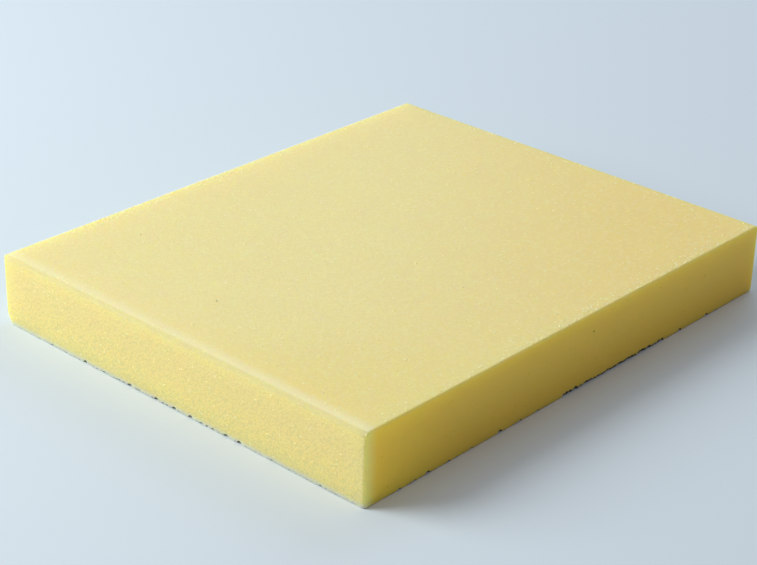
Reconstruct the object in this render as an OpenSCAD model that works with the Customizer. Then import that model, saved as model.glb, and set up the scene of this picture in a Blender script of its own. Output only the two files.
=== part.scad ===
// Rigid foam insulation board, cut from a larger sheet: one slab with eased upper edges,
// lower corners that are rubbed away, and crumbs torn out along the lower edges.
// Millimetres. X runs along the length, Y along the width and Z up.
// The origin is the middle of the underside.
// Seen from the near corner, where X and Y are lowest, the end is on the left and
// the side is on the right.

/* [Board] */
// Length of the board, along X
board_l = 240; // [160:1:600]
// Width of the board, along Y
board_w = 197; // [120:1:600]
// Thickness of the board, along Z
board_t = 30; // [20:1:100]

/* [Eased edges] */
// Radius on the upper edges of the two ends, which handling has rubbed round
end_ease = 2; // [1:0.1:8]
// Radius on the upper edges of the two sides, which are crisper
side_ease = 1.2; // [0.5:0.1:8]
// Radius on the four upright edges
upright_ease = 1.5; // [0.5:0.1:6]
// Radius on the lower edges
foot_ease = 0.5; // [0.2:0.1:1.2]

/* [Worn lower corners] */
// How far the foot of the left corner is rubbed in
left_wear_in = 2.2; // [1:0.1:8]
// Height that the wear reaches up the left corner
left_wear_h = 7.5; // [4:0.5:18]
// How far the foot of the right corner is rubbed in
right_wear_in = 1; // [0.5:0.1:6]
// Height that the wear reaches up the right corner
right_wear_h = 3; // [2:0.5:18]
// Distance from the axis that a worn corner is rubbed round to each of its two faces
wear_axis_in = 20; // [14:1:40]

/* [Torn lower edges] */
// Length along the edge of a small nick
small_nick_l = 1.8; // [1:0.1:4]
// Height of a small nick
small_nick_h = 0.8; // [0.5:0.1:2]
// Length along the edge of a large nick
large_nick_l = 2.8; // [1.5:0.1:6]
// Height of a large nick
large_nick_h = 1.3; // [0.8:0.1:3]

/* [Hidden] */

$fn = 64;
foam_colour = [0.91, 0.86, 0.63];

// Places of the nicks along the lower edge of an end, measured from its near corner
end_small_nicks = [21, 45, 76, 79, 82, 101, 117, 128, 137, 168];
end_large_nicks = [62, 69, 88, 97, 107, 122, 148];
// Places of the nicks along the lower edge of a side, measured from its near corner
side_small_nicks = [18, 26, 44, 57, 85, 95, 129, 140, 152, 161, 175];
side_large_nicks = [33, 73, 111, 124, 187, 206];

// How far a cutting shape runs past the face that it cuts
cut_over = 1;
// How far the ring that a worn corner follows passes outside the corner's tip,
// so that the wear runs out into the upright edge at a clean angle
wear_run_out = 0.1;

// Waste between a square corner and the arc that eases it, for the corner at the
// origin of a profile that lies towards +X and +Y
module corner_waste(ease) {
    difference() {
        translate([-cut_over, -cut_over])
            square(ease + cut_over);
        translate([ease, ease])
            circle(ease);
    }
}

// Rectangle that stands on the X axis, with its corners eased
module eased_profile(span, rise, upper_ease, lower_ease) {
    difference() {
        translate([-span / 2, 0])
            square([span, rise]);
        translate([-span / 2, 0])
            corner_waste(lower_ease);
        translate([span / 2, 0])
            rotate(90)
                corner_waste(lower_ease);
        translate([span / 2, rise])
            rotate(180)
                corner_waste(upper_ease);
        translate([-span / 2, rise])
            rotate(270)
                corner_waste(upper_ease);
    }
}

// The slab before wear: what the side view, the end view and the plan have in common
module eased_slab() {
    intersection() {
        rotate([90, 0, 0])
            linear_extrude(board_w + 2 * cut_over, center = true)
                eased_profile(board_l, board_t, end_ease, foot_ease);
        rotate([90, 0, 90])
            linear_extrude(board_l + 2 * cut_over, center = true)
                eased_profile(board_w, board_t, side_ease, foot_ease);
        translate([0, -board_w / 2, -cut_over])
            linear_extrude(board_t + 2 * cut_over)
                eased_profile(board_l, board_w, upright_ease, upright_ease);
    }
}

// What is rubbed away from the foot of the corner that lies towards +X and +Y of the
// axis: all outside a ring that draws in on an arc, from the wear's height to the floor
module corner_wear(wear_in, wear_h) {
    ring_r = sqrt(2) * wear_axis_in - (sqrt(2) - 1) * upright_ease + wear_run_out;
    arc_r = (wear_in * wear_in + wear_h * wear_h) / (2 * wear_in);
    block = wear_axis_in + cut_over;
    difference() {
        translate([0, 0, -cut_over])
            cube([block, block, wear_h + cut_over]);
        rotate_extrude()
            intersection() {
                translate([0, -2 * cut_over])
                    square([ring_r, wear_h + 3 * cut_over]);
                union() {
                    translate([0, -2 * cut_over])
                        square([ring_r - wear_in, wear_h + 3 * cut_over]);
                    translate([ring_r - arc_r, wear_h])
                        circle(arc_r);
                }
            }
    }
}

// The two worn corners: the left one at the end's far corner, the right one at the side's
module worn_corners() {
    translate([wear_axis_in - board_l / 2, board_w / 2 - wear_axis_in, 0])
        rotate(90)
            corner_wear(left_wear_in, left_wear_h);
    translate([board_l / 2 - wear_axis_in, wear_axis_in - board_w / 2, 0])
        rotate(270)
            corner_wear(right_wear_in, right_wear_h);
}

// Ball that leaves a nick of the given length and height in the face above an edge
module nick(nick_l, nick_h) {
    half = nick_l / 2;
    ball_r = (half * half + nick_h * nick_h) / (2 * nick_h);
    translate([0, 0, nick_h - ball_r])
        sphere(ball_r, $fn = 32);
}

// Row of nicks along +X from the origin, on an edge of the given length
module nick_row(places, edge_l, nick_l, nick_h) {
    for (place = places)
        if (place < edge_l - wear_axis_in)
            translate([place, 0, 0])
                nick(nick_l, nick_h);
}

// Nicks of the end and the side that meet at the near corner
module near_nicks() {
    translate([-board_l / 2, -board_w / 2, 0]) {
        rotate(90) {
            nick_row(end_small_nicks, board_w, small_nick_l, small_nick_h);
            nick_row(end_large_nicks, board_w, large_nick_l, large_nick_h);
        }
        nick_row(side_small_nicks, board_l, small_nick_l, small_nick_h);
        nick_row(side_large_nicks, board_l, large_nick_l, large_nick_h);
    }
}

module foam_board() {
    color(foam_colour)
        difference() {
            eased_slab();
            worn_corners();
            near_nicks();
            // The far end and side were cut the same way, and are torn alike
            rotate(180)
                near_nicks();
        }
}

foam_board();
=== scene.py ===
# %% [markdown]
# # A foam insulation board
#
# The object is one slab of pale yellow rigid foam, cut from a larger sheet. Nearly all of
# its looks are in its surface: fine cells, small beads and pits, upper edges that handling
# has rubbed round, with a painted highlight on the near end's rim and painted shade on the
# arcs, and lower edges that have crumbled, with painted shade in their tears. The imported
# solid already has the right size, the eased edges, the two worn corners and the larger
# nicks, so this lesson keeps that form and gives it the skin of real foam.

# %% Load the frame
import math
import random

import bmesh
import bpy
from mathutils import Matrix, Quaternion, Vector, noise


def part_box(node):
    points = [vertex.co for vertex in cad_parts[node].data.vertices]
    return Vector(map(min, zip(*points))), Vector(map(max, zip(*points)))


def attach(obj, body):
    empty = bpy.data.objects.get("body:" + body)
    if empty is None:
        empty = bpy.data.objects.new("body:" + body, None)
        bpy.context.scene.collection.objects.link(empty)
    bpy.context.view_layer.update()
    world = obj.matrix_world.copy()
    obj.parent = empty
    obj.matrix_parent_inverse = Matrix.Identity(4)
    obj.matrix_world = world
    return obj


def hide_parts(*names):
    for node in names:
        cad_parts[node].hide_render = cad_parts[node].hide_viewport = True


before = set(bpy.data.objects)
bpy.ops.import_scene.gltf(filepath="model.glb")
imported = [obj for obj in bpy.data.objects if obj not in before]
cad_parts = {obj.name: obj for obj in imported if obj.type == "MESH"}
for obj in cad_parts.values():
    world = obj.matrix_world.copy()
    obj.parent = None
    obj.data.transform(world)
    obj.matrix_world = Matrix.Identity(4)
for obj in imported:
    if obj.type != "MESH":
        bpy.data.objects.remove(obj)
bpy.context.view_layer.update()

MM = 0.001
low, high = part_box("foam_board")
size = high - low
print("board, mm:", [round(side / MM, 1) for side in size])

# %% [markdown]
# ## The board's edges
#
# Most of the detail follows an edge, so the four straight runs round the board are written
# down once. A run has the corner that it starts from, the direction that it goes in and the
# direction that its upright face looks in. The two ends are told apart from the two sides by
# the easing of their upper edges, because handling has rubbed the ends' edges rounder.

# %% The edges as straight runs
X, Y, Z = Vector((1, 0, 0)), Vector((0, 1, 0)), Vector((0, 0, 1))
END_EASE = 2.0 * MM
SIDE_EASE = 1.2 * MM
GAP_SPREAD = (0.4, 1.6)

near = Vector((low.x, low.y, low.z))
left = Vector((low.x, high.y, low.z))
right = Vector((high.x, low.y, low.z))
far = Vector((high.x, high.y, low.z))
RUNS = [
    {"start": near, "along": Y, "length": size.y, "out": -X, "ease": END_EASE},
    {"start": near, "along": X, "length": size.x, "out": -Y, "ease": SIDE_EASE},
    {"start": far, "along": -Y, "length": size.y, "out": X, "ease": END_EASE},
    {"start": far, "along": -X, "length": size.x, "out": Y, "ease": SIDE_EASE},
]


def on_side(run):
    return run["ease"] == SIDE_EASE


def places_along(length, gap, margin, rng):
    """Uneven places along a run, one gap apart on average."""
    place = margin
    while place < length - margin:
        yield place
        place += gap * rng.uniform(*GAP_SPREAD)


print("runs, mm:", [round(run["length"] / MM, 1) for run in RUNS])

# %% [markdown]
# ## A mesh that can take detail
#
# The solid's mesh is a loose set of triangles, long and thin on the flat faces. Noise and
# fine cuts need faces of an even size, so the copy is merged, its flat faces are made whole
# again by a limited dissolve, and then planes score it into a grid. Scoring keeps every
# eased edge and nick where it is, which a remesh would blur.

# %% Merge the copy
MERGE_DISTANCE = 0.002 * MM
FLAT_ANGLE = math.radians(0.4)


def merged_copy(node_object):
    mesh = bmesh.new()
    mesh.from_mesh(node_object.data)
    bmesh.ops.remove_doubles(mesh, verts=mesh.verts, dist=MERGE_DISTANCE)
    bmesh.ops.dissolve_limit(
        mesh, angle_limit=FLAT_ANGLE, verts=mesh.verts, edges=mesh.edges
    )
    return mesh


board_mesh = merged_copy(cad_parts["foam_board"])
print("merged:", len(board_mesh.verts), "vertices,", len(board_mesh.faces), "faces")

# %% Score the copy
GRID_STEP = 5 * MM


def score(mesh, axis, start, stop, step):
    count = round((stop - start) / step)
    normal = (X, Y, Z)[axis]
    for line in range(1, count):
        place = start + (stop - start) * line / count
        bmesh.ops.bisect_plane(
            mesh,
            geom=mesh.verts[:] + mesh.edges[:] + mesh.faces[:],
            dist=MERGE_DISTANCE,
            plane_co=normal * place,
            plane_no=normal,
        )


for axis in range(3):
    score(board_mesh, axis, low[axis], high[axis], GRID_STEP)
print("scored:", len(board_mesh.verts), "vertices,", len(board_mesh.faces), "faces")

# %% [markdown]
# ## Marking what is torn
#
# Torn foam looks different from sawn foam: it is rough, and along the foot of the board its
# tears are painted dark, as painted shade. So each face carries a number that the material
# reads later. It is 0 on sawn foam, 1 where foam is torn, 2 on a bead, 3 on a bead at a rim
# and -1 in a pit that is painted dark as shade.
#
# The solid's own nicks are found by their place: their faces lie further inside the lower
# edge than its small rounding does. Both ends of each run are left out, because the corners
# there are rounded or rubbed smooth, and not torn.

# %% Mark the solid's nicks
# The first mark, -1, is for a pit that the material paints dark, as painted shade.
SHADED_PIT, TORN, BEAD, RIM_BEAD = -1, 1, 2, 3
NICK_DEPTH = 0.25 * MM
NICK_LIFT = 0.3 * NICK_DEPTH
NICK_REACH = 3.5 * MM
NEAR_CORNER = 8 * MM
WORN_CORNER = 22 * MM

torn_layer = board_mesh.faces.layers.int.new("torn")


def run_place(run, point):
    """How far a point lies along a run, inside its upright face and above the floor."""
    offset = point - run["start"]
    return offset.dot(run["along"]), -offset.dot(run["out"]), offset.z


def mark_nicks(mesh, run):
    places = []
    for face in mesh.faces:
        along, inside, height = run_place(run, face.calc_center_median())
        on_run = NEAR_CORNER < along < run["length"] - WORN_CORNER
        if on_run and NICK_DEPTH < inside < NICK_REACH and NICK_LIFT < height < NICK_REACH:
            face[torn_layer] = TORN
            places.append(along)
    return places


nick_faces = [mark_nicks(board_mesh, run) for run in RUNS]
print("torn faces in the nicks:", [len(places) for places in nick_faces])

# %% [markdown]
# ## Faces that are not quite flat
#
# A foam board is sawn, and its faces wander by a few hundredths of a millimetre, more often
# inwards than outwards. The movement is too small to see as a shape, but it keeps the light
# on a large face from being perfectly even. The underside stays flat, because the board lies
# on it.

# %% Let the faces wander
WANDER = 0.08 * MM
WANDER_LENGTH = 28 * MM
WANDER_INWARDS = 0.5
UNDERSIDE = low.z + 0.6 * MM


def wander(mesh):
    mesh.normal_update()
    for vert in mesh.verts:
        if vert.co.z > UNDERSIDE:
            lift = noise.noise(vert.co / WANDER_LENGTH) - WANDER_INWARDS
            vert.co += vert.normal * (WANDER * lift)


def as_object(name, mesh):
    data = bpy.data.meshes.new(name)
    mesh.to_mesh(data)
    mesh.free()
    piece = bpy.data.objects.new(name, data)
    bpy.context.scene.collection.objects.link(piece)
    return piece


wander(board_mesh)
board = as_object("foam_slab", board_mesh)
print("foam_slab made:", len(board.data.polygons), "faces")

# %% [markdown]
# ## Rough balls
#
# Up close the foam is not smooth: cells are torn out along the edges, a few bubbles lie
# open as pits, and loose crumbs stand up as beads. Sculpting could make these one by one.
# Here each of them is a small rough ball, long or flat where it needs to be, because a rule
# can then scatter hundreds of them where the real board has them.

# %% A rough ball
BALL_ROUGHNESS = 0.16


def rough_ball(centre, radius, along, stretch=1.0, rings=2):
    """What a ball needs: the stretch is along one direction, and more rings are finer."""
    return {"centre": centre, "radius": radius, "along": along, "stretch": stretch, "rings": rings}


def add_ball(mesh, rng, ball):
    turn = ball["along"].to_track_quat("X", "Z").to_matrix().to_4x4()
    radius = ball["radius"]
    shape = Matrix.Diagonal((radius * ball["stretch"], radius, radius, 1.0))
    made = bmesh.ops.create_icosphere(
        mesh,
        subdivisions=ball["rings"],
        radius=1.0,
        matrix=Matrix.Translation(ball["centre"]) @ turn @ shape,
    )
    for vert in made["verts"]:
        reach = 1.0 + BALL_ROUGHNESS * rng.uniform(-1.0, 1.0)
        vert.co = ball["centre"] + (vert.co - ball["centre"]) * reach


print("a ball's surface is rough by", BALL_ROUGHNESS, "of its radius")

# %% [markdown]
# ## Cutting and adding the balls
#
# A Boolean takes the balls of tears and pits away from the slab, and adds those of beads and
# crumbs. Balls in one pass must not overlap each other, so they are dealt out into layers
# first. The faces that a ball leaves behind keep the ball's mark.

# %% A Boolean pass


def is_clear(ball, reach, layer):
    middle = ball["centre"]
    return all((middle - other["centre"]).length > reach + other["reach"] for other in layer)


def deal_layers(balls):
    """Put each ball into the first layer where it overlaps no other ball."""
    layers = []
    for ball in balls:
        reach = ball["radius"] * max(1.0, ball["stretch"]) * (1.0 + BALL_ROUGHNESS)
        layer = next((layer for layer in layers if is_clear(ball, reach, layer)), None)
        if layer is None:
            layer = []
            layers.append(layer)
        layer.append({**ball, "reach": reach})
    return layers


def boolean_pass(piece, operation, layer, mark, rng):
    mesh = bmesh.new()
    torn = mesh.faces.layers.int.new("torn")
    for ball in layer:
        add_ball(mesh, rng, ball)
    for face in mesh.faces:
        face[torn] = mark
    tool = as_object("balls", mesh)
    step = piece.modifiers.new("balls", "BOOLEAN")
    step.operation = operation
    step.solver = "MANIFOLD"
    step.object = tool
    shaped = piece.evaluated_get(bpy.context.evaluated_depsgraph_get())
    old_data = piece.data
    piece.data = bpy.data.meshes.new_from_object(shaped)
    piece.modifiers.clear()
    bpy.data.meshes.remove(old_data)
    tool_data = tool.data
    bpy.data.objects.remove(tool)
    bpy.data.meshes.remove(tool_data)


def boolean_balls(piece, operation, balls, mark, rng):
    layers = deal_layers(balls)
    for layer in layers:
        boolean_pass(piece, operation, layer, mark, rng)
    faces = len(piece.data.polygons)
    print(operation, len(balls), "balls in", len(layers), "passes:", faces, "faces")


# %% [markdown]
# ## Crumbs along the foot of the ends
#
# On the ends the foam goes right down to the floor in places, so that the dark line under
# the board comes and goes. Long low crumbs fill the lower edge's small rounding there. They
# keep clear of the nicks and of the worn corners.

# %% Crumbs along the ends
CRUMB_GAP = 1.6 * MM
CRUMB_RADIUS_MM = (0.28, 0.4)
CRUMB_STRETCH = (1.5, 4.0)
CRUMB_INSIDE = 0.8
CRUMB_HEIGHT = 1.2
NICK_CLEARANCE = 0.3 * MM
CORNER_MARGIN = 10 * MM
SEED = 11

rng = random.Random(SEED)


def foot_crumbs(rng):
    for run, nick_places in zip(RUNS, nick_faces):
        if on_side(run):
            continue
        for place in places_along(run["length"] - WORN_CORNER, CRUMB_GAP, CORNER_MARGIN, rng):
            radius = rng.uniform(*CRUMB_RADIUS_MM) * MM
            stretch = rng.uniform(*CRUMB_STRETCH)
            clear = radius * stretch + NICK_CLEARANCE
            if any(abs(place - nick) < clear for nick in nick_places):
                continue
            edge = run["start"] + run["along"] * place
            centre = edge - run["out"] * CRUMB_INSIDE * radius + Z * CRUMB_HEIGHT * radius
            yield rough_ball(centre, radius, run["along"], stretch)


boolean_balls(board, "UNION", list(foot_crumbs(rng)), BEAD, rng)

# %% [markdown]
# ## The crumbled lower edges
#
# Along the floor the edge is a broken dark line: short tears a millimetre or two long, with
# sound foam between them, and here and there one of the solid's larger nicks. Each nick
# gets a few small tears of its own, so that its rim is ragged and not a clean arc. About the
# middle of each run the worst stretch begins, where tear runs into tear. On the sides these
# are high and shallow, so that one looks at their walls, which are painted dark as shade,
# and not past them at the floor.

# %% The worst stretches
LOWER_DROP_MM = (-0.12, 0.08)
WORST_PART = (0.47, 0.73)
WORST_GAP = 1.4 * MM
WORST_RADIUS_MM = (0.35, 0.75)
WORST_STRETCH = (0.8, 1.8)
WALL_RADIUS = 0.45 * MM
WALL_GROWTH = 1.9
WALL_STRETCH = (0.4, 0.6)


def mostly_small(rng, small, large, power):
    """A size between two limits: the higher the power, the more of them are small."""
    return small + (large - small) * rng.random() ** power


def lower_tear(run, place, radius, stretch, rng):
    drop = rng.uniform(*LOWER_DROP_MM) * MM
    centre = run["start"] + run["along"] * place + Z * drop
    return rough_ball(centre, radius, run["along"], stretch)


def worst_tears(run, rng):
    first, last = [share * run["length"] for share in WORST_PART]
    for place in places_along(last - first, WORST_GAP, 0.0, rng):
        radius = mostly_small(rng, *WORST_RADIUS_MM, power=2) * MM
        tear = lower_tear(run, first + place, radius, rng.uniform(*WORST_STRETCH), rng)
        if on_side(run):
            tear["along"] = run["out"]
            tear["stretch"] = rng.uniform(*WALL_STRETCH)
            tear["radius"] = WALL_RADIUS + WALL_GROWTH * radius
        yield tear


first, last = WORST_PART
print("worst stretches, mm:", [round((last - first) * run["length"] / MM, 1) for run in RUNS])

# %% Tear the lower edges
LOWER_GAP = 1.7 * MM
LOWER_RADIUS_MM = (0.25, 0.6)
LOWER_STRETCH = (1.0, 2.4)
NICK_RIM_GAP = 0.7 * MM
NICK_RIM_RADIUS_MM = (0.3, 0.65)
NICK_RIM_STRETCH = (0.8, 1.5)


def nick_rim_tears(run, nick_places, rng):
    last = -NICK_RIM_GAP
    for place in sorted(nick_places):
        if place - last > NICK_RIM_GAP:
            last = place
            radius = rng.uniform(*NICK_RIM_RADIUS_MM) * MM
            yield lower_tear(run, place, radius, rng.uniform(*NICK_RIM_STRETCH), rng)


def lower_tears(rng):
    for run, nick_places in zip(RUNS, nick_faces):
        for place in places_along(run["length"], LOWER_GAP, CORNER_MARGIN, rng):
            radius = mostly_small(rng, *LOWER_RADIUS_MM, power=2) * MM
            yield lower_tear(run, place, radius, rng.uniform(*LOWER_STRETCH), rng)
        yield from worst_tears(run, rng)
        yield from nick_rim_tears(run, nick_places, rng)


boolean_balls(board, "DIFFERENCE", list(lower_tears(rng)), TORN, rng)

# %% [markdown]
# ## The ragged upper edges
#
# Handling has plucked single cells out of the upper edges. They are too small to see one by
# one from a step away, but they break the edge's highlight into flecks. The tears lie at
# any height on the eased arc, just deep enough to open it. The far part of each side has
# been knocked about more, and its tears are larger. They carry the mark of a bead, so they
# are painted pale: freshly opened cells are pale, and the paleness is also a painted
# highlight.

# %% Pluck the upper edges
UPPER_GAP = 1.4 * MM
UPPER_MARGIN = 2 * MM
UPPER_TILT = (5, 85)
UPPER_RADIUS_MM = (0.18, 0.34)
UPPER_LIFT = 0.55
UPPER_STRETCH = (0.8, 1.5)
RAGGED_FROM = 0.4
RAGGED_GROWTH = 1.7


def upper_tears(rng):
    for run in RUNS:
        ease = run["ease"]
        inner = run["start"] - run["out"] * ease + Z * (size.z - ease)
        for place in places_along(run["length"], UPPER_GAP, UPPER_MARGIN, rng):
            tilt = math.radians(rng.uniform(*UPPER_TILT))
            face_out = run["out"] * math.cos(tilt) + Z * math.sin(tilt)
            radius = rng.uniform(*UPPER_RADIUS_MM) * MM
            if on_side(run) and place > RAGGED_FROM * run["length"]:
                radius *= RAGGED_GROWTH
            centre = inner + run["along"] * place + face_out * (ease + UPPER_LIFT * radius)
            yield rough_ball(centre, radius, run["along"], rng.uniform(*UPPER_STRETCH), rings=1)


boolean_balls(board, "DIFFERENCE", list(upper_tears(rng)), BEAD, rng)

# %% [markdown]
# ## Pits and beads on the flat faces
#
# A few cells lie open as pits, many loose grains stand up as beads, and some larger crumbs
# lie flat between them. Each kind has a number per square metre, a range of radii, and a
# lift: how far the ball's middle lies outside the face, as a share of its radius. Most balls
# come out near the small end of the range.

# %% Balls on the faces
FACE_MARGIN = 4 * MM
FACE_STRETCH = (0.8, 1.4)
FACES = [
    {"corner": near + Z * size.z, "u": X, "u_length": size.x, "v": Y, "v_length": size.y, "out": Z},
    {"corner": near, "u": Y, "u_length": size.y, "v": Z, "v_length": size.z, "out": -X},
    {"corner": near, "u": X, "u_length": size.x, "v": Z, "v_length": size.z, "out": -Y},
    {"corner": right, "u": Y, "u_length": size.y, "v": Z, "v_length": size.z, "out": X},
    {"corner": left, "u": X, "u_length": size.x, "v": Z, "v_length": size.z, "out": Y},
]
PITS = {"per_square_metre": 250, "lift": 0.35, "radii": (0.25 * MM, 0.45 * MM)}
BEADS = {"per_square_metre": 10000, "lift": -0.4, "radii": (0.26 * MM, 0.6 * MM)}
CRUMBS = {"per_square_metre": 1500, "lift": -0.55, "radii": (0.4 * MM, 0.7 * MM)}


def on_faces(rng, kind):
    for face in FACES:
        count = round(kind["per_square_metre"] * face["u_length"] * face["v_length"])
        for _ in range(count):
            u = rng.uniform(FACE_MARGIN, face["u_length"] - FACE_MARGIN)
            v = rng.uniform(FACE_MARGIN, face["v_length"] - FACE_MARGIN)
            radius = mostly_small(rng, *kind["radii"], power=3)
            foot = face["corner"] + face["u"] * u + face["v"] * v
            centre = foot + face["out"] * (kind["lift"] * radius)
            yield rough_ball(centre, radius, face["u"], rng.uniform(*FACE_STRETCH))


pits = list(on_faces(rng, PITS))
beads = list(on_faces(rng, BEADS))
beads += list(on_faces(rng, CRUMBS))
print("on the faces:", len(pits), "pits,", len(beads), "beads and crumbs")

# %% [markdown]
# ## Pits and beads along the rims
#
# Next to the upper edges the skin is rougher, most of all from about the middle of each side
# on. A chance for each kind of place thins the balls out elsewhere, and most of them lie
# close to the edge.

# %% Balls along the rims
RIM_GAP = 1.0 * MM
RIM_MARGIN = 3 * MM
RIM_REACH = 5 * MM
RIM_RADIUS_MM = (0.26, 0.44)
RIM_STRETCH = (0.9, 1.5)
CROWDED_PART = (0.45, 0.85)
RIM_PITS = {"lift": 0.2, "chances": {"end": 0.0, "side": 0.1, "crowded": 0.6}}
RIM_BEADS = {"lift": -0.35, "chances": {"end": 0.25, "side": 0.5, "crowded": 1.0}}


def rim_place(run, place):
    first, last = CROWDED_PART
    if not on_side(run):
        return "end"
    return "crowded" if first < place / run["length"] < last else "side"


def along_rims(rng, kind):
    for run in RUNS:
        edge = run["start"] - run["out"] * run["ease"] + Z * size.z
        for place in places_along(run["length"], RIM_GAP, RIM_MARGIN, rng):
            if rng.random() > kind["chances"][rim_place(run, place)]:
                continue
            inward = RIM_REACH * rng.random() ** 2
            radius = rng.uniform(*RIM_RADIUS_MM) * MM
            foot = edge + run["along"] * place - run["out"] * inward
            centre = foot + Z * (kind["lift"] * radius)
            yield rough_ball(centre, radius, run["along"], rng.uniform(*RIM_STRETCH), rings=1)


pits += list(along_rims(rng, RIM_PITS))
print("with the rims:", len(pits), "pits")

# %% [markdown]
# ## Two known pits
#
# Two pits are plain to see on this board, so they have places of their own, measured from its
# near corner: a pinhole in the upper face and a small dark mark in the near side. Both are
# painted partly dark inside, as painted shade.

# %% The known pits
KNOWN_PIT_SINK = 0.3
PINHOLE_RADIUS = 0.5 * MM
PINHOLE_FROM_END = 32.5 * MM
PINHOLE_FROM_SIDE = 107.9 * MM
SIDE_MARK_RADIUS = 0.45 * MM
SIDE_MARK_FROM_END = 127.5 * MM
SIDE_MARK_HEIGHT = 22 * MM


def known_pit(place, out, radius):
    return rough_ball(place - out * KNOWN_PIT_SINK * radius, radius, X)


pinhole_at = near + X * PINHOLE_FROM_END + Y * PINHOLE_FROM_SIDE + Z * size.z
side_mark_at = near + X * SIDE_MARK_FROM_END + Z * SIDE_MARK_HEIGHT
known_pits = [
    known_pit(pinhole_at, Z, PINHOLE_RADIUS),
    known_pit(side_mark_at, -Y, SIDE_MARK_RADIUS),
]
print("known pits, mm:", [[round(part / MM, 1) for part in pit["centre"]] for pit in known_pits])

# %% Open the pits and raise the beads
boolean_balls(board, "DIFFERENCE", pits, TORN, rng)
boolean_balls(board, "DIFFERENCE", known_pits, SHADED_PIT, rng)
boolean_balls(board, "UNION", beads, BEAD, rng)
boolean_balls(board, "UNION", list(along_rims(rng, RIM_BEADS)), RIM_BEAD, rng)

# %% [markdown]
# ## What falls off
#
# Where tears and pits meet, a crumb can be cut loose, and a bead can land over a pit. On a
# real board these would drop off, so every part that no longer hangs on the slab is deleted.

# %% Drop the loose crumbs


def islands_of(mesh):
    unseen = set(mesh.faces)
    islands = []
    while unseen:
        island, waiting = [], [unseen.pop()]
        while waiting:
            face = waiting.pop()
            island.append(face)
            for edge in face.edges:
                for other in edge.link_faces:
                    if other in unseen:
                        unseen.remove(other)
                        waiting.append(other)
        islands.append(island)
    return sorted(islands, key=len)


def drop_loose(piece):
    mesh = bmesh.new()
    mesh.from_mesh(piece.data)
    loose = islands_of(mesh)[:-1]
    bmesh.ops.delete(mesh, geom=[face for island in loose for face in island], context="FACES")
    mesh.to_mesh(piece.data)
    mesh.free()
    print("loose crumbs dropped:", len(loose))


drop_loose(board)

# %% [markdown]
# ## Shading
#
# The eased edges should shade smoothly, and the rims of the tears should not. An edge is
# made sharp where faces with different marks meet, or where the mesh turns by a lot.

# %% Smooth faces, crisp rims
CREASE_ANGLE = math.radians(40)


def crisp_rims(piece):
    mesh = bmesh.new()
    mesh.from_mesh(piece.data)
    torn = mesh.faces.layers.int["torn"]
    rims = 0
    for edge in mesh.edges:
        marks = {face[torn] for face in edge.link_faces}
        edge.smooth = len(marks) == 1 and edge.calc_face_angle(0.0) < CREASE_ANGLE
        rims += not edge.smooth
    for face in mesh.faces:
        face.smooth = True
    open_edges = sum(1 for edge in mesh.edges if len(edge.link_faces) != 2)
    triangles = sum(len(face.verts) - 2 for face in mesh.faces)
    mesh.to_mesh(piece.data)
    mesh.free()
    print("crisp edges:", rims, "open edges:", open_edges, "triangles:", triangles)


crisp_rims(board)

# %% [markdown]
# ## The foam
#
# Rigid foam is a mass of tiny cells. Light goes a little way in and comes out again warmer,
# each cell catches the light on its own, and some cell walls are paler. A picture of foam
# could be laid over the board, but it would stretch at the edges and repeat. So the material
# is built from nodes on the board's own coordinates, and lays one tone over another. Three
# helpers keep that short: a node with its values, a soft step and a sum.

# %% Helpers for the foam's nodes


def add_node(tree, kind, **values):
    node = tree.nodes.new(kind)
    for socket, value in values.items():
        node.inputs[socket.replace("_", " ")].default_value = value
    return node


def ramp(tree, value, start, stop, top=1.0):
    """A soft step from 0 at the start to the top value at the stop."""
    node = add_node(tree, "ShaderNodeMapRange", From_Min=start, From_Max=stop, To_Max=top)
    node.interpolation_type = "SMOOTHSTEP"
    tree.links.new(value, node.inputs["Value"])
    return node.outputs["Result"]


def maths(tree, operation, *values):
    node = tree.nodes.new("ShaderNodeMath")
    node.operation = operation
    for socket, value in zip(node.inputs, values):
        if isinstance(value, (int, float)):
            socket.default_value = value
        else:
            tree.links.new(value, socket)
    return node.outputs["Value"]


# %% [markdown]
# ## Where a point lies on the board
#
# The tones change over the board: towards a corner, on an end or a side, near the top and at
# the foot, and several of them are painted light and shade. Each of these is a mask from 0 to
# 1, worked out from the point's own place and the board's box, so that the masks fit the
# board without a painted texture.

# %% Masks towards the corners
RIGHT_FADE = (0.4, 0.95)
FRONT_FADE = (0.35, 0.05)
FRONT_WIDTH = 7 * MM
FORE_LENGTH = 60 * MM
FORE_SHARE = 0.7


def fade_in(tree, value, edge, width, core=0.3, top=1.0):
    """0 at a width from an edge, and the top value within the core, a share of that width."""
    return ramp(tree, value, edge + width, edge + core * width, top)


def corner_masks(tree, x, y):
    along = maths(tree, "DIVIDE", x, 2 * size.x)
    across = maths(tree, "DIVIDE", y, 2 * size.y)
    to_right = maths(tree, "ADD", maths(tree, "SUBTRACT", along, across), 0.5)
    to_back = maths(tree, "ADD", maths(tree, "ADD", along, across), 0.5)
    return {
        "right": ramp(tree, to_right, *RIGHT_FADE),
        "front": ramp(tree, to_back, *FRONT_FADE),
        "fore": fade_in(tree, x, low.x, FORE_LENGTH, core=0.0, top=FORE_SHARE),
        "near_corner": fade_in(tree, x, low.x, FRONT_WIDTH, core=0.0),
    }


print("near end's masks, mm:", round(FORE_LENGTH / MM, 1), round(FRONT_WIDTH / MM, 1))

# %% Masks of the faces
# The width of the painted highlight on the near end's upper rim.
RIM_HIGHLIGHT_WIDTH = 8 * MM
ARC_WIDTH = 2.4 * MM


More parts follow.
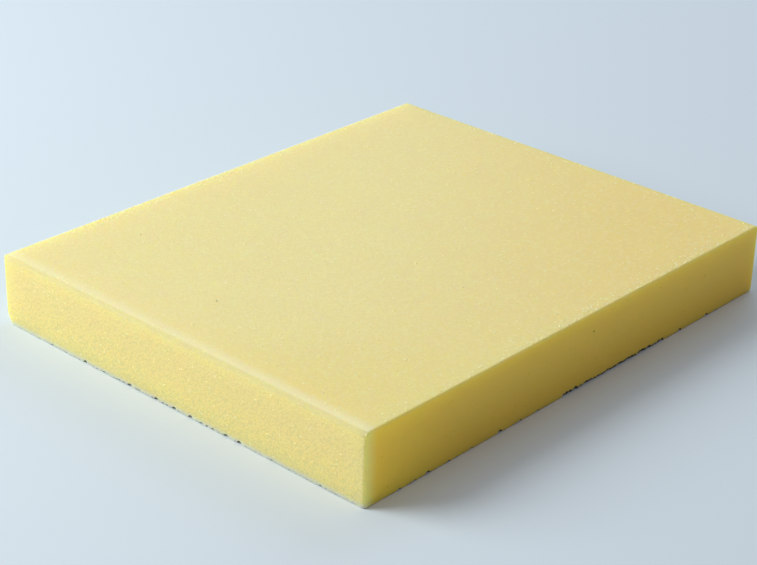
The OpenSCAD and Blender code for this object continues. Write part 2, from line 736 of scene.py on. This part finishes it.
def face_masks(tree, x, y):
    end_face = fade_in(tree, maths(tree, "ABSOLUTE", x), high.x, -END_EASE)
    side_face = fade_in(tree, maths(tree, "ABSOLUTE", y), high.y, -SIDE_EASE)
    return {
        "end_face": end_face,
        "side_face": side_face,
        "off_end": maths(tree, "SUBTRACT", 1.0, end_face),
        "off_side": maths(tree, "SUBTRACT", 1.0, side_face),
        "near_side": fade_in(tree, y, low.y, SIDE_EASE),
        "side_foot": fade_in(tree, y, low.y, 2 * NICK_REACH, core=0.5),
        "near_end": fade_in(tree, x, low.x, ARC_WIDTH),
        "margin": fade_in(tree, x, low.x, RIM_HIGHLIGHT_WIDTH, core=0.4),
    }


print("margin, mm:", round(RIM_HIGHLIGHT_WIDTH / MM, 1), "arc, mm:", round(ARC_WIDTH / MM, 1))

# %% Masks of the height
LOW_HEIGHT = 0.8 * size.z
UPPER_FADE = (1.2 * MM, 0.2 * MM)
# How high the painted light at the foot of the ends reaches, offsetting the shade next to the
# floor.
FOOT_LIFT_HEIGHT = 2.6 * MM
# How high the painted shade in the torn faces at the foot reaches.
TEAR_SHADE_HEIGHT = 2.5 * MM


def height_masks(tree, z):
    start, stop = UPPER_FADE
    return {
        "top": fade_in(tree, z, high.z, -ARC_WIDTH),
        "upper": ramp(tree, z, high.z - start, high.z - stop),
        "low_half": fade_in(tree, z, low.z, LOW_HEIGHT, core=0.0),
        "foot": fade_in(tree, z, low.z, FOOT_LIFT_HEIGHT),
        "tear_shade_foot": fade_in(tree, z, low.z, TEAR_SHADE_HEIGHT, core=0.6),
    }


def board_masks(tree, place):
    split = tree.nodes.new("ShaderNodeSeparateXYZ")
    tree.links.new(place, split.inputs["Vector"])
    x, y, z = [split.outputs[axis] for axis in "XYZ"]
    return {**corner_masks(tree, x, y), **face_masks(tree, x, y), **height_masks(tree, z)}


print("pale foot, mm:", round(FOOT_LIFT_HEIGHT / MM, 1), "dirt up to, mm:", round(TEAR_SHADE_HEIGHT / MM, 1))

# %% [markdown]
# ## The sheet's tone
#
# Foam yellows with age and light, and never evenly, so the base tone drifts slowly over the
# sheet. Towards the right and the front corners it is painted deeper, as painted shade where
# less of the lamps' sheen falls. The ends are sawn across the cells, so they have a tone of
# their own. Towards the foot it is painted warmer and brighter, as painted light that
# offsets the shade next to the floor.

# %% Tone of the sheet
FOAM_YELLOW = (0.80, 0.72, 0.335, 1.0)
FOAM_WARM = (0.81, 0.685, 0.32, 1.0)
# Painted shade: deeper towards the right corner, where less of the lamps' sheen falls.
FOAM_RIGHT_SHADE = (0.80, 0.61, 0.20, 1.0)
# Painted shade: deeper towards the front corner, where less of the lamps' sheen falls.
FOAM_FRONT_SHADE = (0.80, 0.675, 0.255, 1.0)
FOAM_END = (0.805, 0.68, 0.275, 1.0)
# Painted light: the ends' lower part is warmer and brighter, offsetting the shade next to the
# floor.
FOAM_END_FOOT_LIFT = (0.89, 0.705, 0.252, 1.0)
CELL_SIZE = 0.95 * MM
FLECK_SIZE = 1.5 * MM
RIPPLE_SIZE = 1.8 * MM
DRIFT_SIZE = 22 * MM


def foam_textures(tree, place):
    textures = {
        "cells": add_node(tree, "ShaderNodeTexVoronoi", Scale=1.0 / CELL_SIZE),
        "flecks": add_node(tree, "ShaderNodeTexVoronoi", Scale=1.0 / FLECK_SIZE),
        "drift": add_node(tree, "ShaderNodeTexNoise", Scale=1.0 / DRIFT_SIZE, Detail=2.0),
        "ripple": add_node(tree, "ShaderNodeTexNoise", Scale=1.0 / RIPPLE_SIZE, Detail=2.0),
    }
    for texture in textures.values():
        tree.links.new(place, texture.inputs["Vector"])
    return textures


def blend_colours(tree, factor, first, second):
    node = tree.nodes.new("ShaderNodeMix")
    node.data_type = "RGBA"
    tree.links.new(factor, node.inputs["Factor"])
    for socket, colour in (("A", first), ("B", second)):
        if isinstance(colour, tuple):
            node.inputs[socket].default_value = colour
        else:
            tree.links.new(colour, node.inputs[socket])
    return node.outputs["Result"]


def sheet_tone(tree, textures, masks):
    sheet = blend_colours(tree, textures["drift"].outputs["Fac"], FOAM_YELLOW, FOAM_WARM)
    # Painted shade towards the right and the front corners.
    right_shaded = blend_colours(tree, masks["right"], sheet, FOAM_RIGHT_SHADE)
    front_shaded = blend_colours(tree, masks["front"], right_shaded, FOAM_FRONT_SHADE)
    # Painted light: the ends grow warmer and brighter towards the foot.
    end = blend_colours(tree, masks["low_half"], FOAM_END, FOAM_END_FOOT_LIFT)
    return blend_colours(tree, masks["end_face"], front_shaded, end)


print("cells, mm:", round(CELL_SIZE / MM, 2), "drift, mm:", round(DRIFT_SIZE / MM, 1))

# %% [markdown]
# ## Cells, mottling and flecks
#
# The gaps between cells are deeper in tone, twice as much on the sawn ends. Off the ends a
# faint pale mottling lies over the cells, and here and there one cell wall catches the light
# as a pale fleck. The grain has to be in the colour too: the light that spreads inside foam
# washes a bump of this size nearly away.

# %% Tone of the grain
FOAM_DEEP = (0.70, 0.615, 0.26, 1.0)
FOAM_PALE = (0.88, 0.86, 0.60, 1.0)
WALL_FADE = (0.35, 0.75)
WALL_SHARE = 0.3
MOTTLE_FADE = (0.45, 0.7)
MOTTLE_SHARE = 0.13
FLECK_CHOICE = (0.86, 0.9)
FLECK_CORE = (0.34, 0.2)
FLECK_SHARE = 0.6


def multiplied(tree, first, *others):
    for other in others:
        first = maths(tree, "MULTIPLY", first, other)
    return first


def grain_tone(tree, textures, masks, tone):
    wall = ramp(tree, textures["cells"].outputs["Distance"], *WALL_FADE)
    openness = maths(tree, "MULTIPLY_ADD", masks["end_face"], WALL_SHARE, WALL_SHARE)
    walled = blend_colours(tree, multiplied(tree, wall, openness), tone, FOAM_DEEP)

    ripple = ramp(tree, textures["ripple"].outputs["Fac"], *MOTTLE_FADE, MOTTLE_SHARE)
    mottle = multiplied(tree, ripple, masks["off_end"])
    mottled = blend_colours(tree, mottle, walled, FOAM_PALE)

    chosen = ramp(tree, textures["flecks"].outputs["Color"], *FLECK_CHOICE)
    core = ramp(tree, textures["flecks"].outputs["Distance"], *FLECK_CORE)
    fleck = multiplied(tree, chosen, core, FLECK_SHARE)
    return blend_colours(tree, fleck, mottled, FOAM_PALE)


print("flecks, mm:", round(FLECK_SIZE / MM, 1), "mottling up to:", MOTTLE_SHARE)

# %% [markdown]
# ## The near side
#
# One long side, the one that faces away from the key lamp, is painted a deeper, warmer yellow
# than the rest of the board, as painted shade. It is painted deepest at the foot, as painted
# shade where less light reaches, more golden towards the near end, as a painted glow of the
# light that comes through from the lit end, and greener and paler right at the near corner,
# as a painted highlight on the rounded upright edge. This side's cells are too fine to see,
# so its tone covers the grain.

# %% Painted shade of the near side
# Painted shade on the near side, deepest at the foot, with a painted glow towards the near end and
# a painted highlight at the near corner.
FOAM_SIDE_SHADE = (0.79, 0.615, 0.08, 1.0)
FOAM_SIDE_FOOT_SHADE = (0.735, 0.485, 0.05, 1.0)
FOAM_SIDE_FORE_GLOW = (0.92, 0.70, 0.058, 1.0)
FOAM_SIDE_CORNER_HIGHLIGHT = (0.81, 0.76, 0.24, 1.0)


def painted_side_shade(tree, masks, tone):
    # Painted shade, glow and highlight of the near side.
    side = blend_colours(tree, masks["low_half"], FOAM_SIDE_SHADE, FOAM_SIDE_FOOT_SHADE)
    forward = blend_colours(tree, masks["fore"], side, FOAM_SIDE_FORE_GLOW)
    cornered = blend_colours(tree, masks["near_corner"], forward, FOAM_SIDE_CORNER_HIGHLIGHT)
    return blend_colours(tree, masks["near_side"], tone, cornered)


print("near side, top and foot:", FOAM_SIDE_SHADE[:3], FOAM_SIDE_FOOT_SHADE[:3])

# %% [markdown]
# ## Painted light and shade on the edges
#
# The rim above the near end is painted pale, as a painted highlight where the lamps' sheen
# lies, and the rounded arcs of the near end and of both sides are painted darker, as painted
# shade that cancels the extra light that they catch. The foot of the ends is painted pale as
# well, as painted light that offsets the shade next to the floor. The mask of the arcs is kept
# by itself, because it also takes the gloss away there.

# %% Painted light and shade on the edges
# A painted highlight on the near end's rim, painted light at the ends' foot and painted shade on
# the eased arcs.
FOAM_RIM_HIGHLIGHT = (0.80, 0.72, 0.42, 1.0)
FOAM_FOOT_LIFT = (0.88, 0.79, 0.46, 1.0)
FOAM_ARC_SHADE = (0.63, 0.56, 0.28, 1.0)
SIDE_ARC_SHARE = 0.55


def shaded_dull_arc(tree, masks):
    # The arcs are painted darker as shade, and shine less.
    end_arc = multiplied(tree, masks["near_end"], masks["top"], masks["off_side"])
    side_arc = multiplied(tree, masks["side_face"], masks["upper"], SIDE_ARC_SHARE)
    return maths(tree, "MAXIMUM", end_arc, side_arc)


def painted_edge_light(tree, masks, arc, tone):
    # Painted highlight on the near end's upper rim.
    rim = multiplied(tree, masks["margin"], masks["upper"], masks["off_side"])
    highlighted = blend_colours(tree, rim, tone, FOAM_RIM_HIGHLIGHT)
    # Painted light at the foot of the ends.
    foot = multiplied(tree, masks["foot"], masks["end_face"])
    foot_lifted = blend_colours(tree, foot, highlighted, FOAM_FOOT_LIFT)
    # Painted shade on the eased arcs.
    return blend_colours(tree, arc, foot_lifted, FOAM_ARC_SHADE)


print("rubbed rim and arc:", FOAM_RIM_HIGHLIGHT[:3], FOAM_ARC_SHADE[:3])

# %% [markdown]
# ## Beads and painted shade
#
# Here the marks on the faces are read. Beads are pale, the ones at the rims most, but less so
# on the ends, and not at all on the sides. Their paleness is partly that of open cells and
# partly a painted highlight of grains that catch the light. What is torn at the foot is
# painted dark, as painted shade in the tears, nearly black along the near side, and the two
# known pits are painted partly dark the same way.

# %% Tone of beads and painted shade
# Beads are pale, partly as a painted highlight.
BEAD_PALE_HIGHLIGHT = (0.94, 0.88, 0.52, 1.0)
# Painted shade in torn faces at the foot, nearly black on the near side, and in the two known pits.
FOOT_TEAR_SHADE = (0.40, 0.42, 0.27, 1.0)
SIDE_TEAR_SHADE = (0.05, 0.055, 0.035, 1.0)
BEAD_FADE = (TORN, RIM_BEAD - 0.3)
BEAD_SHARE = 0.9
LESS_ON_ENDS = 0.5
PIT_SHADE_SHARE = 0.6
HALF_A_MARK = 0.5


def marked_tone(tree, masks, tone):
    attribute = tree.nodes.new("ShaderNodeAttribute")
    attribute.attribute_name = "torn"
    mark = attribute.outputs["Fac"]

    # Pale beads, partly a painted highlight.
    bead = ramp(tree, mark, *BEAD_FADE, BEAD_SHARE)
    on_ends = maths(tree, "MULTIPLY_ADD", masks["end_face"], -LESS_ON_ENDS, 1.0)
    shown = multiplied(tree, bead, masks["off_side"], on_ends)
    beaded = blend_colours(tree, shown, tone, BEAD_PALE_HIGHLIGHT)

    # Painted shade in the tears at the foot and in the two known pits.
    torn = maths(tree, "COMPARE", mark, TORN, HALF_A_MARK)
    pitted = maths(tree, "LESS_THAN", mark, HALF_A_MARK * SHADED_PIT)
    at_foot = multiplied(tree, torn, masks["tear_shade_foot"])
    tear_shade = maths(tree, "MAXIMUM", at_foot, multiplied(tree, pitted, PIT_SHADE_SHARE))
    tear_shade_tone = blend_colours(tree, masks["side_foot"], FOOT_TEAR_SHADE, SIDE_TEAR_SHADE)
    return blend_colours(tree, tear_shade, beaded, tear_shade_tone)


print("marks:", {"shaded_pit": SHADED_PIT, "torn": TORN, "bead": BEAD, "rim bead": RIM_BEAD})

# %% [markdown]
# ## The finished foam
#
# A low bump gives the cells and the ripple of the skin their relief, more of the cells on the
# ends and more of the ripple elsewhere. Foam hardly shines, so the roughness is high, and the
# worn arcs shine least. Light goes into foam for many millimetres, red furthest and blue
# least, which is what makes its shaded parts look warm.

# %% Relief of the foam
BUMP_DEPTH = 0.2 * MM
BUMP_STRENGTH = 0.3
MORE_BUMP_ON_ENDS = 0.5
RIPPLE_HEIGHT = 1.3
LESS_RIPPLE_ON_ENDS = 0.8


def foam_relief(tree, textures, masks):
    bump = add_node(tree, "ShaderNodeBump", Distance=BUMP_DEPTH)
    bump.invert = True
    on_end = masks["end_face"]
    strength = maths(tree, "MULTIPLY_ADD", on_end, MORE_BUMP_ON_ENDS, BUMP_STRENGTH)
    tree.links.new(strength, bump.inputs["Strength"])
    share = maths(tree, "MULTIPLY_ADD", on_end, -LESS_RIPPLE_ON_ENDS, RIPPLE_HEIGHT)
    ripple = multiplied(tree, textures["ripple"].outputs["Fac"], share)
    height = maths(tree, "ADD", textures["cells"].outputs["Distance"], ripple)
    tree.links.new(height, bump.inputs["Height"])
    return bump.outputs["Normal"]


print("bump, mm:", round(BUMP_DEPTH / MM, 2))

# %% Foam material
FOAM_ROUGHNESS = 0.6
FOAM_SPECULAR = 0.5
DULLER_ARC = 0.35
SCATTER_WEIGHT = 0.6
SCATTER_RADIUS = (1.0, 0.65, 0.1)
SCATTER_DEPTH = 22 * MM


def foam_material():
    material = bpy.data.materials.new("foam")
    material.use_nodes = True
    tree = material.node_tree
    shader = tree.nodes["Principled BSDF"]
    place = tree.nodes.new("ShaderNodeTexCoord").outputs["Object"]
    textures = foam_textures(tree, place)
    masks = board_masks(tree, place)
    arc = shaded_dull_arc(tree, masks)

    tone = sheet_tone(tree, textures, masks)
    tone = grain_tone(tree, textures, masks, tone)
    tone = painted_side_shade(tree, masks, tone)
    tone = painted_edge_light(tree, masks, arc, tone)
    tone = marked_tone(tree, masks, tone)
    tree.links.new(tone, shader.inputs["Base Color"])

    tree.links.new(foam_relief(tree, textures, masks), shader.inputs["Normal"])
    gloss = maths(tree, "MULTIPLY_ADD", arc, -DULLER_ARC, FOAM_SPECULAR)
    tree.links.new(gloss, shader.inputs["Specular IOR Level"])
    shader.inputs["Roughness"].default_value = FOAM_ROUGHNESS
    shader.inputs["Subsurface Weight"].default_value = SCATTER_WEIGHT
    shader.inputs["Subsurface Radius"].default_value = SCATTER_RADIUS
    shader.inputs["Subsurface Scale"].default_value = SCATTER_DEPTH
    return material


board.data.materials.clear()
board.data.materials.append(foam_material())
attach(board, "root")
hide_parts("foam_board")
print("foam on", board.name)

# %% [markdown]
# ## The floor
#
# The board lies on a plain pale floor. It is one large face, and it sits a hair below the
# board, so that the two never lie in the same plane. The floor is part of the stage and not
# of the object.

# %% Floor
FLOOR_COLOUR = (0.62, 0.70, 0.80, 1.0)
FLOOR_ROUGHNESS = 0.8
FLOOR_SPECULAR = 0.1
FLOOR_HALF = 4.0
FLOOR_DROP = 0.02 * MM

floor_mesh = bmesh.new()
bmesh.ops.create_grid(floor_mesh, x_segments=1, y_segments=1, size=FLOOR_HALF)
floor = as_object("floor", floor_mesh)
floor.location.z = low.z - FLOOR_DROP
floor_material = bpy.data.materials.new("floor")
floor_material.use_nodes = True
floor_shader = floor_material.node_tree.nodes["Principled BSDF"]
floor_shader.inputs["Base Color"].default_value = FLOOR_COLOUR
floor_shader.inputs["Roughness"].default_value = FLOOR_ROUGHNESS
floor_shader.inputs["Specular IOR Level"].default_value = FLOOR_SPECULAR
floor.data.materials.append(floor_material)
print("floor, m:", 2 * FLOOR_HALF)

# %% [markdown]
# ## The lamps
#
# Two large soft lamps stand round the board, as in a plain studio. The key lamp is on the
# camera's left and nearly neutral. A weaker, cooler one stands behind on the right, and
# lifts the upper face and the far edges.

# %% Key lamp
KEY_POWER = 23.6
KEY_COLOUR = (0.96, 1.0, 0.94)
KEY_DIRECTION = Vector((-0.67, 0.74, 0.67))
KEY_DISTANCE = 1.5
KEY_SIZE = 1.0


def soft_lamp(name, direction, distance, diameter, power, colour):
    data = bpy.data.lights.new(name, "AREA")
    data.shape = "DISK"
    data.size = diameter
    data.energy = power
    data.color = colour
    lamp = bpy.data.objects.new(name, data)
    bpy.context.scene.collection.objects.link(lamp)
    lamp.location = direction.normalized() * distance
    lamp.rotation_euler = (-direction).to_track_quat("-Z", "Y").to_euler()
    print(name, "lamp, m:", [round(part, 2) for part in lamp.location])


soft_lamp("key", KEY_DIRECTION, KEY_DISTANCE, KEY_SIZE, KEY_POWER, KEY_COLOUR)

# %% Rear lamp
REAR_POWER = 5.6
REAR_COLOUR = (0.75, 0.87, 1.0)
REAR_DIRECTION = Vector((0.75, 0.28, 0.60))
REAR_DISTANCE = 1.6
REAR_SIZE = 1.0

soft_lamp("rear", REAR_DIRECTION, REAR_DISTANCE, REAR_SIZE, REAR_POWER, REAR_COLOUR)

# %% [markdown]
# ## The world
#
# The rest of the light comes from the room: nearly neutral behind the board, and a little
# warmer on the camera's side. A dot product with the direction to the back tells the two
# apart, and a soft step blends them.

# %% World
WORLD_BACK = (0.36, 0.39, 0.38, 1.0)
WORLD_FRONT = (0.40, 0.34, 0.32, 1.0)
BACK_DIRECTION = Vector((0.67, 0.60, 0.0))
WORLD_FADE = (-0.5, 0.5)


def studio_world():
    world = bpy.data.worlds.new("studio")
    world.use_nodes = True
    tree = world.node_tree
    place = tree.nodes.new("ShaderNodeTexCoord")
    across = tree.nodes.new("ShaderNodeVectorMath")
    across.operation = "DOT_PRODUCT"
    across.inputs[1].default_value = BACK_DIRECTION.normalized()
    tree.links.new(place.outputs["Generated"], across.inputs[0])
    backness = ramp(tree, across.outputs["Value"], *WORLD_FADE)
    colour = blend_colours(tree, backness, WORLD_FRONT, WORLD_BACK)
    tree.links.new(colour, tree.nodes["Background"].inputs["Color"])
    return world


bpy.context.scene.world = studio_world()
print("world:", bpy.context.scene.world.name)

# %% [markdown]
# ## The camera
#
# The camera looks down at the near corner from about arm's length, through a long lens. Its
# focal length is kept in pixels of the picture, because that is how a camera fitted to a
# picture gives it, and the lens follows from it and the width of the sensor.

# %% Camera
IMAGE_WIDTH = 757
FOCAL_PIXELS = 1995
SENSOR_WIDTH = 36.0
CAMERA_AT = Vector((-547.3, -488.9, 374.0)) * MM
CAMERA_LOOKS = Vector((0.6646, 0.6010, -0.4439))
CAMERA_ROLL = math.radians(1.43)

camera_data = bpy.data.cameras.new("camera")
camera_data.sensor_width = SENSOR_WIDTH
camera_data.sensor_fit = "HORIZONTAL"
camera_data.lens = SENSOR_WIDTH * FOCAL_PIXELS / IMAGE_WIDTH
camera = bpy.data.objects.new("camera", camera_data)
bpy.context.scene.collection.objects.link(camera)
camera.location = CAMERA_AT
aim = CAMERA_LOOKS.to_track_quat("-Z", "Y")
camera.rotation_euler = (aim @ Quaternion((0, 0, 1), CAMERA_ROLL)).to_euler()
bpy.context.scene.camera = camera

bpy.context.scene.view_settings.view_transform = "Standard"
print("lens, mm:", round(camera_data.lens, 1))
